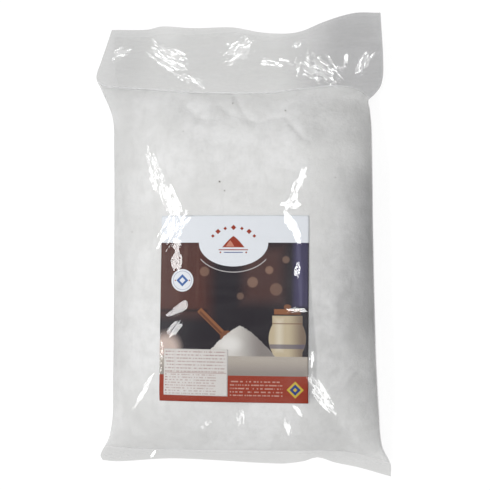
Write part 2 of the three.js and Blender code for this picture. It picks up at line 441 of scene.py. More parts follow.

# Patches where the film's tint is painted darker, a painted shade: the area's middle, its reach
# and how much darker it is painted.
SHADE_PATCHES = [
    ((106, 146), (62, 44), 0.19),
    ((116, -104), (32, 112), 0.26),
    ((148, -165), (22, 45), 0.2),
    ((152, 0), (14, 50), 0.12),
    ((125, -235), (60, 22), 0.15),
]
SHADOW_FROM = -25  # y where the strip of painted shadow beside the label's right edge starts; the film stands off the label's edge there
SHADOW_WIDEN = 0.1  # how much wider that strip is for each millimetre on, towards the hem
SHADOW_WIDTH = 10.5  # and its full width

# Thin lines where the flat film of the hem is pressed into pleats: their ends and strength.
PLEATS = [
    ((-165, -258), (-128, -250), 0.3),
    ((-160, -261), (-112, -254), 0.25),
    ((-150, -248), (-70, -250.5), 0.3),
    ((-60, -252), (60, -253), 0.2),
    ((20, -250), (96, -252), 0.25),
    ((110, -253), (150, -262), 0.25),
    ((140, -258), (174, -262), 0.3),
]
PLEAT_WIDTH = 1.1


def scattered(draw, middle, heading, reach):
    along, beside = np.clip(draw.normal(0, 0.45, 2), -1, 1) * reach
    right, up = turned(along, beside, -heading)
    return middle[0] + right, middle[1] + up


def patch_creases(seed):
    """Each slack patch's heading, lean and crumple, and its creases' x, y, heading, length,
    half width and height."""
    patches = []
    for number, patch in enumerate(SLACK_PATCHES):
        draw = np.random.default_rng((seed, number))
        middle, heading, reach, count, spread, length, width, slope, lean, crumple = patch
        creases = []
        for _ in range(count):
            place = scattered(draw, middle, heading, reach)
            turn = heading + spread * draw.normal(0, 0.7)
            half_width = draw.uniform(*width)
            height = draw.uniform(*slope) * half_width * draw.choice((-1, 1))
            creases.append((*place, turn, draw.uniform(*length), half_width, height))
        patches.append((heading, lean, crumple, creases))
    return patches


def loose_creases(seed):
    """Low creases all over the film."""
    draw = np.random.default_rng(seed)
    creases = []
    for _ in range(LOOSE_CREASES):
        place = draw.uniform(-165, 165), draw.uniform(-260, 190)
        height = draw.uniform(0.04, 0.16) * draw.choice((-1, 1))
        turn = draw.normal(90, 50)
        creases.append((*place, turn, draw.uniform(20, 70), draw.uniform(5, 11), height))
    return creases


def beside_crease(x, y, crease, margin=0):
    """The points near a crease, how far along it they are and how far beside it, each from
    -1 to 1 within its footprint."""
    middle_x, middle_y, heading, length, width, _ = crease
    near = np.hypot(x - middle_x, y - middle_y) < length / 2 + width + margin
    along, beside = turned(x[near] - middle_x, y[near] - middle_y, heading)
    return near, along / (length / 2 + margin), beside / (width + margin)


def tents(x, y, creases):
    """Relief of straight creases: each rises evenly to a sharp ridge and fades at its ends."""
    relief = np.zeros_like(x)
    for crease in creases:
        near, along, beside = beside_crease(x, y, crease)
        fade = np.clip(1 - along**2, 0, 1)
        relief[near] += crease[-1] * fade * np.clip(1 - np.abs(beside), 0, 1)
    return relief


def slack_at(x, y, seed):
    """How slack the film is, 1 on the creases of the slack patches and 0 a little way beside
    them, with what its nearest patch is like: how crumpled, which way it faces, and the
    point's place as seen along its heading."""
    slack, crumple = np.zeros_like(x), np.zeros_like(x)
    facing, seat = np.zeros((*x.shape, 3)), np.zeros((*x.shape, 3))
    facing[..., 2] = 1
    for heading, lean, of_patch, creases in patch_creases(seed):
        share = np.zeros_like(x)
        for crease in creases:
            near, along, beside = beside_crease(x, y, crease, SLACK_MARGIN)
            share[near] = np.maximum(share[near], 1 - smooth(np.hypot(along, beside) * 2 - 1))
        here = share > slack
        crumple[here] = of_patch
        facing[here] = np.array([-lean[0], -lean[1], 1]) / math.hypot(*lean, 1)
        seat[here] = np.stack([*turned(x, y, heading), 0 * x], -1)[here]
        slack = np.maximum(slack, share)
    return slack, crumple, facing, seat


def from_line(x, y, start, stop):
    """Distance to a line between two points, and 1 on its left or -1 on its right."""
    run_x, run_y = stop[0] - start[0], stop[1] - start[1]
    right, up = x - start[0], y - start[1]
    share = np.clip((right * run_x + up * run_y) / (run_x**2 + run_y**2), 0, 1)
    away = np.hypot(right - share * run_x, up - share * run_y)
    return away, np.where(run_x * up > run_y * right, 1, -1)


def fold_relief(x, y):
    """The folds of FOLDS, in the film and in the salt below it, and the weld's gathers."""
    relief = gathers(x, y)
    for points, width, depth in FOLDS:
        nearest, side = np.full_like(x, np.inf), np.ones_like(x)
        for start, stop in zip(points, points[1:]):
            away, here = from_line(x, y, start, stop)
            side = np.where(away < nearest, here, side)
            nearest = np.minimum(nearest, away)
        reach = width * np.where(side > 0, FOLD_LEAN, 1)
        relief -= depth * np.exp(-(np.hypot(nearest, FOLD_SOFTNESS) - FOLD_SOFTNESS) / reach)
    return relief


def gathers(x, y):
    """Soft pleats in the fill that run down from the weld, each leaning its own way."""
    down = seam_line(x) - y
    lean = 0.35 * down * Noise(33, 60)(x, 0 * y)
    place = x + lean + 5 * Noise(34, 30)(x, y)
    wave = np.sin(2 * math.pi * place / 23) + 0.7 * np.sin(2 * math.pi * place / 13.7 + 1)
    strength = 0.55 + 0.45 * Noise(35, 34)(x, y)
    return 0.42 * wave * strength * smooth(down / 6) * np.exp(-np.maximum(down, 0) / 22)


def seam_puckers(x, y):
    """Small gathers in the film on both sides of the weld."""
    warp = 7 * Noise(31, 26)(x, y)
    gather = np.sin(2 * math.pi * (x + warp) / 15) + 0.6 * np.sin(2 * math.pi * (x - warp) / 9)
    distance = np.abs(y - seam_line(x))
    return 0.3 * gather * np.exp(-distance / 13) * smooth(distance / 5)


def painted_film_shade(x, y):
    """How much the film's tint is painted darker, a painted shade: on the body's right and left
    flanks, in the listed shade patches and in the strip beside the label's right edge, broken up by
    wisps.
    """
    # Painted shade on both flanks, the right one darkest.
    right = smooth((x - 102) / 55) * smooth((y + 150) / 60) * smooth((105 - y) / 50)
    left = smooth((-x - 100) / 40) * smooth((y + 200) / 60)
    shade_share = np.zeros_like(x)
    for (middle_x, middle_y), (reach_x, reach_y), strength in SHADE_PATCHES:
        away = np.hypot((x - middle_x) / reach_x, (y - middle_y) / reach_y)
        shade_share += strength * smooth(1.5 * (1.2 - away))
    wisps = 0.45 * Noise(37, 9)(x + 0.5 * y, y) + 0.55 * Noise(38, 4.5)(x, y - 0.6 * x)
    shade_share = shade_share * (1 + wisps) + np.maximum(0.8 * right, 0.22 * left)
    return np.maximum(shade_share, 0.85 * label_edge_shadow(x, y))


def label_edge_shadow(x, y):
    """1 on the strip beside the label's right edge, where the film stands off the salt; the film's
    tint is painted darker there, a painted shadow.
    """
    right, _ = on_sheet(LABEL, x, y)
    away = right - LABEL["width"] / 2
    width = np.clip(SHADOW_WIDEN * (SHADOW_FROM - y), 0, SHADOW_WIDTH)
    strip = smooth((away + 0.5) / 1.5) * smooth((width - away) / 2)
    return strip * smooth((y - LABEL["y"] + LABEL["length"] / 2) / 10)


def weld_at(x, y):
    """1 on the weld of the seam, less on the hem's weld and its pleats."""
    weld = 1 - smooth(np.abs(y - seam_line(x)) / WELD_WIDTH)
    weld *= 1 - 0.9 * smooth((x - 108) / 30)
    for start, stop, strength in PLEATS:
        away, _ = from_line(x, y, start, stop)
        weld = np.maximum(weld, strength * (1 - smooth(away / PLEAT_WIDTH)))
    return weld


def on_sheet(sheet, x, y):
    """Place on a sheet, from its middle: to its right and up."""
    return turned(x - sheet["x"], y - sheet["y"], sheet["turn"])


def over_label(x, y):
    """1 over the label, falling to 0 a little way outside its edges."""
    right, up = on_sheet(LABEL, x, y)
    outside_x = np.abs(right) - LABEL["width"] / 2
    outside_y = np.abs(up) - LABEL["length"] / 2
    outside = np.hypot(np.maximum(outside_x, 0), np.maximum(outside_y, 0))
    return 1 - smooth(outside / LIFT_RAMP)


def film_relief(x, y, seed):
    creases = loose_creases(seed)
    for *_, of_patch in patch_creases(seed):
        creases += of_patch
    return layered(seed, FILM_LUMPS, x, y) + tents(x, y, creases) + seam_puckers(x, y)


# ---------------- pieces


def body_share(share):
    return mix(share, 0.5 - 0.5 * np.cos(math.pi * share), 0.35)


def bag_rows(columns):
    """Places and heights of the film's two walls, row by row from the hem to the header."""
    across = columns_across(columns)
    rows = []
    for share in np.arange(HEM_ROWS) / HEM_ROWS:
        x, y = row_between(bottom_edge, hem_line, share, across)
        height = mix(HEM_EDGE_HEIGHT, HEM_HEIGHT, share) + 0 * x
        rows.append((x, y, height + FILM / 2, height - FILM / 2))
    for share in np.arange(BODY_ROWS) / BODY_ROWS:
        x, y = row_between(hem_line, seam_line, body_share(share), across)
        _, top, bottom = body_at(x, y)
        rows.append((x, y, top, bottom))
    for share in np.arange(HEADER_ROWS + 1) / HEADER_ROWS:
        x, y = row_between(seam_line, top_edge, share, across)
        half = (FILM + HEADER_GAP * math.sin(math.pi * share)) / 2
        middle = header_middle(x, share)
        rows.append((x, y, middle + half, middle - half))
    return [np.array(part) for part in zip(*rows)]


def thickness_at(x, y):
    """1 where the fill is thick, 0 at its edges."""
    middle, top, _ = body_at(x, y)
    return smooth((top - middle - FILM / 2) / THICK)


def store(thing, name, front, back_step, on_back=True):
    """Stores a number from 0 to 1 or a direction at each point of a piece's two walls, for its
    material to read. The back wall has the front's, or 0."""
    back = front[:, ::back_step] * on_back
    if front.ndim == 2:
        kind, field = "FLOAT", "value"
        front, back = np.clip(front, 0, 1), np.clip(back, 0, 1)
    else:
        kind, field = "FLOAT_VECTOR", "vector"
    attribute = thing.data.attributes.new(name, kind, "POINT")
    values = np.concatenate([front.ravel(), back.ravel()])
    attribute.data.foreach_set(field, values.astype(np.float32))


def store_slack(thing, x, y, seed, back_step):
    """Stores how the film's front wall is slack. Its back is not."""
    slack, crumple, facing, seat = slack_at(x, y, seed)
    store(thing, "slack", slack, back_step, on_back=False)
    store(thing, "crumple", crumple, back_step, on_back=False)
    store(thing, "facing", facing, back_step)
    store(thing, "seat", seat, back_step)


def make_film_bag():
    x, y, top, bottom = bag_rows(FILM_COLUMNS)
    side = smooth(3 * (1 - np.abs(across_at(x, y)) ** 6))
    header = smooth((y - seam_line(x)) / 6)
    thick, label = thickness_at(x, y), over_label(x, y)
    sag = mix(mix(EDGE_SAG, FILM_SAG, np.maximum(thick, header)), LABEL_SAG, label)
    relief = np.maximum(film_relief(x, y, FRONT_SEED) * side, -sag)
    front = top + relief + fold_relief(x, y) * thick + FILM_LIFT * label
    back = bottom + 0.5 * film_relief(x, y, BACK_SEED) * side * header
    back = np.clip(back, 0, front - 0.4)
    front = np.stack([x, y, front], -1)
    back = np.stack([x, y, back], -1)[:, ::BACK_STEP]
    bag = mesh_object("film_bag", *shell(front, back, close_end=False))
    store_slack(bag, x, y, FRONT_SEED, BACK_STEP)
    beyond = smooth((y - seam_line(x)) / 2 + 0.5)
    # The flat film of the hem and header takes a darker tint, which on the hem paints the shade under
    # it.
    flat = np.maximum(beyond, smooth((hem_line(x) - y) / 2 + 0.5))
    # Painted shade: the header's right side, the body's flanks, the listed patches and the strip
    # beside the label take the darkest tint.
    painted_shade = np.maximum(beyond * smooth((x - SHADE_FROM) / SHADE_RAMP), painted_film_shade(x, y))
    store(bag, "header", header, BACK_STEP)
    store(bag, "flat", flat, BACK_STEP)
    store(bag, "painted_shade", painted_shade, BACK_STEP)
    store(bag, "weld", weld_at(x, y), BACK_STEP)
    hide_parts("sack")
    return bag


def make_salt():
    """The fill, a little inside the film, with the film's soft creases and its own lumps."""
    across = columns_across(SALT_COLUMNS) * 0.994
    rows = []
    for row in range(SALT_ROWS + 1):
        share = mix(0.0015, 0.998, body_share(row / SALT_ROWS))
        x, y = row_between(hem_line, seam_line, share, across)
        middle, top, bottom = body_at(x, y)
        lumps = np.minimum(layered(SALT_SEED, SALT_LUMPS, x, y), SALT_LUMP) + fold_relief(x, y)
        thick = thickness_at(x, y)
        top += lumps * thick - mix(EDGE_INSET, SALT_INSET, thick)
        rows.append((x, y, np.maximum(top, middle), np.minimum(bottom + GROUND_GAP, middle)))
    x, y, top, bottom = [np.array(part) for part in zip(*rows)]
    front = np.stack([x, y, top], -1)
    back = np.stack([x, y, bottom], -1)[:, ::BACK_STEP]
    salt = mesh_object("salt_fill", *shell(front, back))
    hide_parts("sack")
    return salt


def make_sheet(name, sheet, lift, columns, rows, node):
    """A thin sheet of paper that follows the top of the bag."""
    right, up = np.meshgrid(
        np.linspace(-0.5, 0.5, columns + 1) * sheet["width"],
        np.linspace(-0.5, 0.5, rows + 1) * sheet["length"],
    )
    x, y = turned(right, up, -sheet["turn"])
    x, y = x + sheet["x"], y + sheet["y"]
    height = body_at(x, y)[1] + lift
    front = np.stack([x, y, height + sheet["thickness"]], -1)
    back = np.stack([x, y, height], -1)
    paper = mesh_object(name, *shell(front, back))
    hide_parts(node)
    return paper


def make_liner():
    """The inner bag's open end, loose between the two walls of the header."""
    columns, rows = 150, 44
    (low_y, low_x), (high_y, high_x) = LINER_LEFT
    walls = []
    for row in range(rows + 1):
        share = row / rows
        y = mix(low_y, high_y, share)
        start = across_at(mix(low_x, high_x, share), y)
        across = np.linspace(start, LINER_RIGHT, columns + 1)
        x, y = place_on(lambda x: mix(seam_line(x) + 0.6, top_edge(x) - liner_drop(x), share), across)
        half = (FILM + HEADER_GAP * math.sin(math.pi * share)) / 2
        walls.append((x, y, header_middle(x, share), half + 0 * x))
    x, y, middle, half = [np.array(part) for part in zip(*walls)]
    relief = 0.3 * film_relief(x, y, LINER_SEED)
    gap = half * 0.35
    front = np.stack([x, y, middle + gap + np.clip(relief, -gap, half * 0.4)], -1)
    back = np.stack([x, y, middle - gap], -1)
    liner = mesh_object("film_liner", *shell(front, back, False, False))
    store_slack(liner, x, y, LINER_SEED, 1)
    store(liner, "header", np.ones_like(x), 1)
    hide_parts("sack")
    return liner


def make_specks():
    """Dark crumbs that show on the salt: flat pebbles, half sunk in its top."""
    sides, rings = 9, 5
    tilt = math.pi * (np.arange(rings)[:, None] + 0.5) / rings
    turn = 2 * math.pi * np.arange(sides) / sides
    vertices, faces = [], []
    draw = np.random.default_rng(SPECK_SEED)
    for x, y, size in SPECKS:
        first = len(vertices)
        reach = size / 2 * np.sin(tilt) * draw.uniform(0.8, 1.15, (rings, sides))
        height = body_at(x + 0 * reach, y + 0 * reach)[1] - SALT_INSET + SPECK_RISE
        height += 0.35 * size * np.cos(tilt)
        pebble = np.stack([x + reach * np.cos(turn), y + reach * np.sin(turn), height], -1)
        vertices += pebble.reshape(-1, 3).tolist()
        for ring in range(rings - 1):
            for side in range(sides):
                here, on = first + ring * sides + side, first + ring * sides + (side + 1) % sides
                faces.append((here, here + sides, on + sides, on))
        faces.append(tuple(range(first, first + sides)))
        last = first + (rings - 1) * sides
        faces.append(tuple(range(last + sides - 1, last - 1, -1)))
    specks = mesh_object("specks", vertices, faces)
    return specks


# ---------------- materials


def linear(*colour):
    """A colour given as it looks, from 0 to 255, as the shader's linear numbers."""
    shares = [value / 255 for value in colour]
    return (*(s / 12.92 if s <= 0.04045 else ((s + 0.055) / 1.055) ** 2.4 for s in shares), 1)


class Graph:
    """A short way to build the nodes of a material or a world."""

    def __init__(self, owner, output="Material"):
        self.owner = owner
        owner.use_nodes = True
        self.tree = owner.node_tree
        self.tree.nodes.clear()
        self.output = self.tree.nodes.new("ShaderNodeOutput" + output)

    def node(self, kind, settings=None, **inputs):
        node = self.tree.nodes.new("ShaderNode" + kind)
        for name, value in (settings or {}).items():
            setattr(node, name, value)
        for name, value in inputs.items():
            self.put(node.inputs[name.replace("_", " ")], value)
        return node

    def put(self, socket, value):
        if isinstance(value, bpy.types.NodeSocket):
            self.tree.links.new(value, socket)
        else:
            socket.default_value = value

    def fill(self, node, values, first=0):
        """Puts values in a node's inputs, one after the other from the first."""
        for socket, value in zip(node.inputs[first:], values):
            self.put(socket, value)
        return node

    def math(self, operation, *values, clamp=False):
        node = self.node("Math", {"operation": operation, "use_clamp": clamp})
        return self.fill(node, values).outputs[0]

    def vector(self, operation, *values):
        node = self.node("VectorMath", {"operation": operation})
        number = operation in ("LENGTH", "DOT_PRODUCT")
        return self.fill(node, values).outputs["Value" if number else "Vector"]

    def blend(self, share, under, over):
        node = self.node("Mix", {"data_type": "RGBA"}, Factor=share)
        return self.fill(node, (under, over), 6).outputs[2]

    def ramp(self, value, low, high, start=0.0, stop=1.0):
        node = self.node(
            "MapRange", {"interpolation_type": "SMOOTHSTEP"},
            Value=value, From_Min=low, From_Max=high, To_Min=start, To_Max=stop,
        )
        return node.outputs[0]

    def noise(self, place, scale, detail=2.0, roughness=0.5):
        node = self.node(
            "TexNoise", Vector=place, Scale=scale, Detail=detail, Roughness=roughness
        )
        return node.outputs["Fac"]

    def bump(self, height, strength, distance, **normal):
        node = self.node("Bump", Height=height, Strength=strength, Distance=distance, **normal)
        return node.outputs[0]

    def brushed(self, place, scale, turn=0):
        """A place that is scaled, and turned by degrees, so that noise there has a grain."""
        rotation = (0, 0, math.radians(turn))
        return self.node("Mapping", Vector=place, Rotation=rotation, Scale=scale).outputs[0]

    def where(self):
        return self.node("TexCoord").outputs["Object"]

    def stored(self, name, output="Fac"):
        return self.node("Attribute", {"attribute_name": name}).outputs[output]

    def mix_shader(self, share, under, over):
        return self.fill(self.node("MixShader"), (share, under.outputs[0], over.outputs[0]))

    def finish(self, shader):
        self.tree.links.new(shader.outputs[0], self.output.inputs["Surface"])
        return self.owner


class Print(Graph):
    """Paints fields of colour and simple shapes on a sheet, in millimetres from its middle."""

    def __init__(self, name, sheet, ground):
        super().__init__(bpy.data.materials.new(name))
        x, y = sheet["x"] * MM, sheet["y"] * MM
        self.place = self.frame(self.where(), x, y, MM, MM, sheet["turn"])
        self.colour = linear(*ground)

    def frame(self, place, x, y, width, height, turn=0):
        """A place as seen from x, y, with the two sizes as its units."""
        return self.node(
            "Mapping", {"vector_type": "TEXTURE"}, Vector=place, Location=(x, y, 0),
            Rotation=(0, 0, math.radians(turn)), Scale=(width, height, 1e6),
        ).outputs[0]

    def parts(self, place):
        both = self.node("SeparateXYZ", Vector=place)
        return both.outputs[0], both.outputs[1]

    def disc(self, x, y, width, height, soft=0.4, turn=0):
        place = self.frame(self.place, x, y, width / 2, height / 2, turn)
        rim = soft / min(width, height)
        return self.ramp(self.vector("LENGTH", place), 1 - rim, 1 + rim, 1.0, 0.0)

    def ring(self, x, y, width, height, line, soft=0.4):
        outer = self.disc(x, y, width + line, height + line, soft)
        inner = self.disc(x, y, width - line, height - line, soft)
        return self.math("SUBTRACT", outer, inner)

    def box(self, x, y, width, height, soft=0.3, turn=0):
        place = self.frame(self.place, x, y, 1, 1, turn)
        right, up = self.parts(self.vector("ABSOLUTE", place))
        outside = self.math("MAXIMUM", self.math("SUBTRACT", right, width / 2),
                            self.math("SUBTRACT", up, height / 2))
        return self.ramp(outside, -soft / 2, soft / 2, 1.0, 0.0)

    def heap(self, x, y, width, height, power=1.5, soft=0.5, rough=0.0):
        """A pile with its foot at y, straight sides for a power of 1 and a round top above."""
        right, up = self.parts(self.frame(self.place, x, y, width / 2, height))
        slope = self.math("POWER", self.math("ABSOLUTE", right), power)
        if rough:
            grit = self.noise(self.place, 0.35, 4.0, 0.6)
            slope = self.math("MULTIPLY_ADD", self.math("SUBTRACT", grit, 0.5), rough, slope)
        over = self.math("SUBTRACT", self.math("SUBTRACT", 1, slope), up)
        rim = soft / height
        pile = self.ramp(over, -rim, rim)
        return self.math("MULTIPLY", pile, self.ramp(up, -rim, rim))

    def dashes(self, x, y, width, height, rows, line, length):
        """Rows of short dashes of uneven length."""
        right, up = self.parts(self.frame(self.place, x, y - height / 2, 1, height / rows))
        row = self.math("FLOOR", up)
        beside = self.math("ABSOLUTE", self.math("SUBTRACT", self.math("FRACT", up), 0.5))
        on_row = self.ramp(self.math("MULTIPLY", beside, height / rows), line * 0.4, line * 0.6,
                           1.0, 0.0)
        seat = self.node("CombineXYZ", X=self.math("DIVIDE", right, length),
                         Y=self.math("MULTIPLY", row, 7.31))
        word = self.ramp(self.noise(seat.outputs[0], 1.0, 1.0), 0.44, 0.5)
        field = self.box(x, y, width, height)
        return self.math("MULTIPLY", self.math("MULTIPLY", on_row, word), field)

    def paint(self, mask, ink, strength=1.0, within=None):
        if within is not None:
            mask = self.math("MULTIPLY", mask, within)
        if strength != 1:
            mask = self.math("MULTIPLY", mask, strength)
        self.colour = self.blend(mask, self.colour, linear(*ink))

    def paper(self, roughness):
        """The printed sheet: its inks with the faint unevenness of coated paper."""
        fibre = self.noise(self.where(), 900, 3.0)
        shade = self.ramp(fibre, 0.3, 0.7, 0.0, 0.035)
        tint = self.blend(shade, self.colour, (0.35, 0.34, 0.33, 1))
        return self.finish(self.node(
            "BsdfPrincipled", Base_Color=tint, Roughness=roughness, Specular_IOR_Level=0.08,
            Normal=self.bump(fibre, 0.06, 0.0003),
        ))


# The print's inks, from 0 to 255, as they look through the film in the photo's light.
WHITE_INK = (243, 247, 253)
RUST_INK = (160, 58, 36)
BLUE_INK = (40, 66, 138)
OCHRE_INK = (214, 186, 66)
CHARCOAL_INK = (34, 28, 37)
BROWN_INK = (86, 48, 42)
NAVY_INK = (58, 52, 88)
TABLE_INK = (200, 190, 180)
CREAM_INK = (206, 190, 160)
LINEN_INK = (222, 200, 190)
WOOD_INK = (150, 96, 62)
SALT_INK = (232, 229, 224)


def paint_backdrop(art):
    """A dim kitchen out of focus: a brown wall, a dark recess and a blue curtain."""
    art.paint(art.box(0, -0.5, 172, 152, 0.3), CHARCOAL_INK)
    boards = art.noise(art.frame(art.place, 0, 0, 9, 160), 1.0, 2.0)
    art.paint(art.box(-66, 36, 76, 86, 26), BROWN_INK)
    art.paint(art.ramp(boards, 0.45, 0.75), (112, 78, 70), 0.5, art.box(-60, 40, 60, 70, 18))
    art.paint(art.box(-60, -3, 60, 3, 4), (28, 22, 28), 0.8)
    art.paint(art.box(34, 38, 44, 62, 22), (92, 62, 58), 0.75)
    art.paint(art.box(77, 40, 17, 76, 7), NAVY_INK)
    art.paint(art.ramp(boards, 0.5, 0.7), (98, 94, 130), 0.7, art.box(78, 40, 14, 74, 5))
    for x, y, size, strength in ((22, 30, 12, 0.35), (41, 44, 9, 0.4), (49, 22, 14, 0.25),
                                 (60, 56, 8, 0.3), (-34, 42, 11, 0.3), (8, 14, 8, 0.25)):
        art.paint(art.disc(x, y, size, size, 2.4), (196, 158, 134), strength)


def paint_jar(art, x, foot):
    """A stoneware jar with a wooden lid, lit from its left."""
    body = art.box(x, foot + 24, 34, 48, 1)
    belly = art.disc(x, foot + 22, 42, 52, 1)
    jar = art.math("MAXIMUM", body, belly)
    jar = art.math("MULTIPLY", jar, art.box(x, foot + 25, 60, 50, 0.6))
    art.paint(jar, CREAM_INK)
    art.paint(art.box(x + 20, foot + 24, 22, 60, 20), (96, 72, 64), 0.8, within=jar)
    art.paint(art.box(x - 9, foot + 26, 7, 36, 8), (240, 232, 214), 0.6, within=jar)
    art.paint(art.box(x, foot + 39, 60, 1.4, 0.6), (128, 92, 72), 0.7, within=jar)
    art.paint(art.box(x, foot + 13, 60, 5, 0.8), (86, 84, 112), 0.7, within=jar)
    lid = art.box(x, foot + 52.5, 30, 6, 0.8)
    art.paint(lid, WOOD_INK)
    art.paint(art.box(x + 9, foot + 52.5, 12, 6, 6), (70, 42, 34), 0.7, within=lid)
    art.paint(art.disc(x, foot + 58, 8, 6, 0.8), (132, 84, 56))


def paint_salt(art, x, foot):
    """A heap of salt on the table, with a wooden scoop stuck into it."""
    art.paint(art.box(x - 31, foot + 38, 46, 6.4, 0.8, turn=-44), WOOD_INK)
    art.paint(art.box(x - 31, foot + 36.6, 44, 2.4, 1.6, turn=-44), (92, 56, 40), 0.8)
    art.paint(art.disc(x - 10, foot + 18, 30, 19, 0.8, turn=-44), (128, 80, 54))
    pile = art.heap(x, foot, 84, 36, 1.3, 0.7, rough=0.16)
    grit = art.noise(art.place, 1.3, 3.0, 0.7)
    art.paint(pile, SALT_INK)
    art.paint(art.ramp(grit, 0.35, 0.7), (176, 168, 162), 0.55, within=pile)
    art.paint(art.box(x + 30, foot + 10, 46, 60, 38), (104, 92, 90), 0.75, within=pile)
    art.paint(art.disc(x - 12, foot + 15, 24, 16, 12), (248, 246, 243), 0.7, within=pile)


def paint_table(art):
    """A pale stone table with spilt grains, in front of the things that stand on it."""
    table = art.box(0, -65.5, 172, 22, 0.8)
    speckle = art.noise(art.place, 1.1, 4.0, 0.75)
    art.paint(table, TABLE_INK)
    art.paint(art.ramp(speckle, 0.3, 0.75), (142, 132, 122), 0.6, within=table)
    art.paint(art.box(0, -78, 172, 22, 16), (132, 126, 124), 0.6, within=table)
    spill = art.ramp(art.noise(art.place, 0.9, 4.0, 0.8), 0.56, 0.62)
    art.paint(spill, (232, 228, 222), 0.8, within=art.box(20, -57, 110, 6, 4))


def paint_head(art):
    """The white head of the label: an oval field with a plain heap and lozenges on it."""
    art.paint(art.box(0, 92, 172, 33, 0.3), WHITE_INK)
    art.paint(art.disc(-0.7, 75.5, 80.6, 55, 0.4), WHITE_INK)
    arc = art.ring(-0.7, 75.5, 92, 68, 1.1)
    art.paint(arc, (214, 210, 210), 0.8, within=art.box(-0.7, 55, 76, 33, 0.6))
    for step in range(7):
        turn = math.radians(90 + 21 * (step - 3))
        x, y = -0.7 + 27 * math.cos(turn), 75 + 18 * math.sin(turn)
        size = 4.4 if step % 2 else 3
        art.paint(art.box(x, y, size, size, 0.3, turn=45), RUST_INK)
    art.paint(art.heap(-0.7, 70, 26, 13, 1.25, 0.3), RUST_INK)
    art.paint(art.heap(-4.5, 70.9, 10, 7, 1.25, 0.3), (212, 142, 120))
    art.paint(art.box(-0.7, 67.2, 34, 1.1, 0.3), RUST_INK)
    art.paint(art.box(-0.7, 64.2, 22, 0.9, 0.3), BLUE_INK)
    for side in (-1, 1):
        art.paint(art.disc(-0.7 + 15 * side, 64.2, 2, 2, 0.3), RUST_INK)


def paint_badge(art, x, y):
    """A round white mark with a plain blue square on its corner."""
    art.paint(art.disc(x, y, 26, 26, 0.4), WHITE_INK)
    art.paint(art.ring(x, y, 21.5, 21.5, 0.5), BLUE_INK, 0.6)
    art.paint(art.box(x, y, 10, 10, 0.3, turn=45), (66, 108, 176))
    art.paint(art.box(x, y, 5, 5, 0.3, turn=45), WHITE_INK)
    for side in (-1, 1):
        art.paint(art.disc(x + 8.4 * side, y, 1.6, 1.6, 0.3), RUST_INK)


def paint_foot(art):
    """The rust band at the foot, with dashes and an ochre lozenge."""
    art.paint(art.box(0, -91.8, 172, 30.6, 0.3), RUST_INK)
    art.paint(art.dashes(27, -91, 60, 19.5, 5, 1.5, 2.6), (232, 196, 182), 0.55)
    art.paint(art.box(71.4, -91.8, 13.6, 13.6, 0.3, turn=45), OCHRE_INK)
    art.paint(art.box(71.4, -91.8, 9, 9, 0.3, turn=45), BLUE_INK)
    art.paint(art.box(71.4, -91.8, 3.4, 3.4, 0.3, turn=45), OCHRE_INK)


def label_material():
    art = Print("label_print", LABEL, WHITE_INK)
    paint_backdrop(art)
    paint_jar(art, 62, -56)
    paint_salt(art, 8, -56)
    art.paint(art.disc(-80, -50, 34, 40, 14, turn=-20), LINEN_INK, 0.9)
    paint_table(art)
    paint_head(art)
    paint_badge(art, -60, 31.8)
    paint_foot(art)
    return art.paper(0.42)


def sticker_material():
    """A ruled table over rows of dashes, in faded brown."""
    brown = (150, 82, 74)
    art = Print("sticker_print", STICKER, (228, 224, 221))
    for row in range(7):
        art.paint(art.box(0, 23.4 - 3.75 * row, 71, 0.3, 0.25), brown, 0.4)
    for x, height in ((-24.5, 26), (3.5, 7), (17, 7)):
        art.paint(art.box(x, 26.2 - height / 2, 0.3, height, 0.25), brown, 0.4)
    art.paint(art.box(0, -0.6, 72, 0.5, 0.25), brown, 0.8)
    art.paint(art.dashes(-31, 12.1, 10, 26.2, 7, 1.5, 1.7), brown, 0.5)
    art.paint(art.dashes(5.5, 12.1, 56, 26.2, 7, 1.4, 1.9), brown, 0.42)
    art.paint(art.dashes(-6, -13.5, 60, 24.5, 8, 1.3, 2.1), brown, 0.42)
    for row in (0, 1, 2, 4, 6):
        art.paint(art.disc(-35, -2.8 - 3.06 * row, 1.3, 1.3, 0.3), brown)
    return art.paper(0.5)


def crinkle(graph, place, cell, slope, share, normal):
    """Bump of flat facets, each about as large as the cell and tilted its own way."""
    seat = graph.node("Mapping", {"vector_type": "TEXTURE"}, Vector=place,
                      Scale=(cell[0], cell[1], 1e6)).outputs[0]
    cells = graph.node("TexVoronoi", {"voronoi_dimensions": "2D"}, Vector=seat, Scale=1.0)
    offset = graph.vector("SUBTRACT", seat, cells.outputs["Position"])
    tilt = graph.vector("SUBTRACT", cells.outputs["Color"], (0.5, 0.5, 0.5))
    height = graph.vector("DOT_PRODUCT", offset, tilt)
    return graph.bump(height, share, slope * 2 * cell[1] * MM, Normal=normal)


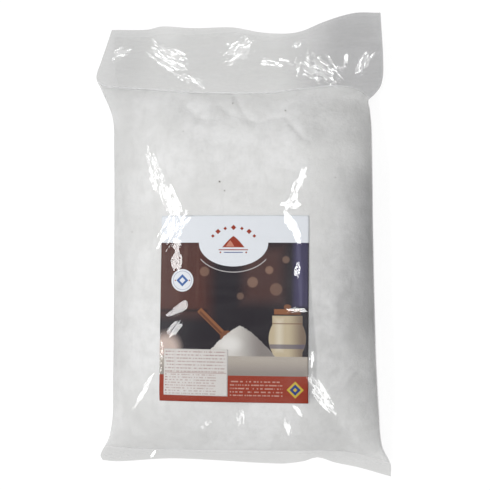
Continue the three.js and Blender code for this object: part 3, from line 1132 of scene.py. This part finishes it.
def film_material(name, tints, hazes, shines):
    """Thin clear film: it passes most light, scatters a little and mirrors at its surface.
    Where it clings, the grains behind it dull it; where it is slack, it is glassy, in flat facets,
    and its tint is painted lighter, painted light that makes up for what its mirror takes. Its tint
    is also painted darker in places, a painted shade. OUTER_FILM says what its numbers are for."""
    graph = Graph(bpy.data.materials.new(name))
    place, seat = graph.where(), graph.stored("seat", "Vector")
    header, crumple = graph.stored("header"), graph.stored("crumple")
    ragged = graph.noise(graph.brushed(seat, (0.05, 0.4, 1)), 1.0, 4.0, 0.65)
    ragged = graph.math("SUBTRACT", ragged, 0.5)
    slack = graph.math("MULTIPLY_ADD", ragged, 3.0, graph.stored("slack"))
    slack = graph.ramp(slack, 0.66, 0.76)

    dimples = graph.bump(graph.noise(place, 520, 3.0, 0.6), 0.1, 0.0006)
    lean = graph.node("Mix", {"data_type": "VECTOR"}, Factor=slack)
    normal = graph.fill(lean, (dimples, graph.stored("facing", "Vector")), 4).outputs[1]
    normal = crinkle(graph, seat, (14, 1.4), 0.4, crumple, normal)
    normal = crinkle(graph, seat, (5, 2.2), 0.25, crumple, normal)

    plain, flat, painted_shade = tints
    # The flat tint is darker; on the hem it is painted shade, the shade that falls under the hem.
    tint = graph.blend(graph.stored("flat"), plain, flat)
    # Painted shade: a darker tint on the header's right side, the flanks, the listed patches and
    # beside the label's right edge.
    tint = graph.blend(graph.stored("painted_shade"), tint, painted_shade)
    # Painted light: where the film is slack its tint is lightened, making up for the light its mirror
    # takes.
    tint = graph.blend(graph.math("MULTIPLY", slack, SLACK_LIGHTENING), tint, (1, 1, 1, 1))
    through = graph.node("BsdfTransparent", Color=tint)
    dull = graph.node("BsdfPrincipled", Base_Color=linear(238, 239, 240), Roughness=0.7,
                      Specular_IOR_Level=0.0)
    mirror = graph.node("BsdfPrincipled", Base_Color=(1, 1, 1, 1), Metallic=1.0,
                        Roughness=graph.ramp(slack, 0.0, 1.0, 0.3, 0.045), Normal=normal)

    veil = graph.noise(graph.brushed(place, (16, 75, 16), 6), 1.0, 4.0, 0.6)
    share = graph.math("MULTIPLY", graph.ramp(veil, 0.35, 0.7, 0.3, 1.9),
                       graph.ramp(header, 0, 1, *hazes))
    ticks = graph.ramp(graph.noise(place, 420, 2.0), 0.4, 0.62, 0.12, 0.5)
    share = graph.math("MULTIPLY_ADD", graph.stored("weld"), ticks, share)
    body = graph.mix_shader(share, through, dull)

    slant = graph.node("LayerWeight", Blend=0.5, Normal=normal).outputs["Facing"]
    mirrored = graph.math("MULTIPLY_ADD", graph.math("POWER", slant, 5.0), 0.96, 0.04)
    cling_shine, *slack_shines = shines
    strength = graph.ramp(header, 0.0, 1.0, *slack_shines)
    strength = graph.math("SUBTRACT", strength, cling_shine)
    strength = graph.math("MULTIPLY_ADD", strength, slack, cling_shine)
    both = graph.math("MULTIPLY", mirrored, strength, clamp=True)
    return graph.finish(graph.mix_shader(both, body, mirror))


def salt_material():
    """Fine white salt: bright matt grains, with faint clouds, blotches and wisps of grey where
    it is packed against the film."""
    graph = Graph(bpy.data.materials.new("fine_salt"))
    place = graph.where()
    clouds = graph.ramp(graph.noise(place, 14, 4.0, 0.6), 0.35, 0.65)
    colour = graph.blend(clouds, linear(240, 240, 239), linear(250, 250, 250))
    blotches = graph.ramp(graph.noise(place, 62, 5.0, 0.7), 0.35, 0.75, 0.0, 0.7)
    colour = graph.blend(blotches, colour, linear(232, 232, 231))
    wisps = graph.noise(graph.brushed(place, (90, 26, 40), -38), 1.0, 4.0, 0.65)
    colour = graph.blend(graph.ramp(wisps, 0.5, 0.7, 0.0, 0.35), colour, linear(226, 226, 225))
    grains = graph.bump(graph.noise(place, 1900, 2.0, 0.7), 0.35, 0.0004)
    lumps = graph.bump(graph.noise(place, 210, 4.0, 0.65), 0.45, 0.0016, Normal=grains)
    return graph.finish(graph.node("BsdfPrincipled", Base_Color=colour, Roughness=0.85,
                                   Specular_IOR_Level=0.25, Normal=lumps))


def speck_material():
    graph = Graph(bpy.data.materials.new("dark_specks"))
    shade = graph.ramp(graph.noise(graph.where(), 2500, 2.0), 0.3, 0.7)
    colour = graph.blend(shade, linear(60, 44, 38), linear(100, 80, 66))
    return graph.finish(graph.node("BsdfPrincipled", Base_Color=colour, Roughness=0.8))


def floor_material():
    graph = Graph(bpy.data.materials.new("studio_floor"))
    return graph.finish(graph.node(
        "BsdfPrincipled", Base_Color=(0.2, 0.2, 0.2, 1), Roughness=0.9,
        Specular_IOR_Level=0.0, Emission_Color=(1, 1, 1, 1), Emission_Strength=0.84,
    ))


# ---------------- studio


def camera_place():
    toward = Vector((
        math.tan(math.radians(CAMERA_TURN)), -math.tan(math.radians(CAMERA_TILT)), 1
    ))
    return Vector(CAMERA_TARGET) + toward.normalized() * CAMERA_DISTANCE


def add_aimed(name, data, place, target):
    """Adds a camera or light at a place, facing the target, with its own Y axis along +Y."""
    thing = add_object(name, data)
    behind = (Vector(place) - Vector(target)).normalized()
    right = Vector((0, 1, 0)).cross(behind).normalized()
    turn = Matrix((right, behind.cross(right), behind)).transposed()
    thing.matrix_world = Matrix.Translation(Vector(place) * MM) @ turn.to_4x4()
    return thing


def make_camera():
    data = bpy.data.cameras.new("photo_camera")
    data.lens = CAMERA_LENS
    data.sensor_width = CAMERA_SENSOR
    camera = add_aimed("photo_camera", data, camera_place(), CAMERA_TARGET)
    bpy.context.scene.camera = camera


def make_light(name, place, target, width, length, power):
    data = bpy.data.lights.new(name, "AREA")
    data.shape = "RECTANGLE"
    data.size = width * MM
    data.size_y = length * MM
    data.energy = power
    add_aimed(name, data, place, target)


def make_world(left, right, front, top):
    """Soft light from all round: left and right are its strength from those sides, and front
    and top what is added towards -Y and from straight above."""
    graph = Graph(bpy.data.worlds.new("studio_world"), "World")
    direction = graph.node("TexCoord").outputs["Generated"]
    x, y, z = graph.node("SeparateXYZ", Vector=direction).outputs
    strength = graph.ramp(x, -0.5, 0.6, left, right)
    for slope, power, share in ((graph.math("MULTIPLY", y, -1), 1, front), (z, 4, top)):
        lit = graph.math("POWER", graph.math("MAXIMUM", slope, 0), power)
        strength = graph.math("MULTIPLY_ADD", lit, share, strength)
    background = graph.node("Background", Color=(1, 1, 1, 1), Strength=strength)
    bpy.context.scene.world = graph.finish(background)


def make_floor():
    corners = [(FLOOR_HALF * x, FLOOR_HALF * y, 0) for x, y in ((-1, -1), (1, -1), (1, 1), (-1, 1))]
    floor = mesh_object("floor", corners, [(0, 1, 2, 3)], body=None)
    floor.location.z = -FLOOR_DROP * MM
    floor.data.materials.append(floor_material())


def make_studio():
    bpy.context.scene.view_settings.view_transform = "Standard"
    make_camera()
    make_world(**WORLD)
    for lamp in LAMPS:
        make_light(*lamp)
    make_floor()


# ---------------- the scene

make_studio()

salt_fill = make_salt()
salt_fill.data.materials.append(salt_material())

specks = make_specks()
specks.data.materials.append(speck_material())

paper_label = make_sheet("paper_label", LABEL, LABEL_LIFT, 86, 107, "label_card")
paper_label.data.materials.append(label_material())

sticker_lift = LABEL_LIFT + LABEL["thickness"] + 0.03
paper_sticker = make_sheet("paper_sticker", STICKER, sticker_lift, 38, 27, "sticker")
paper_sticker.data.materials.append(sticker_material())

film_bag = make_film_bag()
film_bag.data.materials.append(film_material("clear_film", **OUTER_FILM))

film_liner = make_liner()
film_liner.data.materials.append(film_material("liner_film", **INNER_FILM))
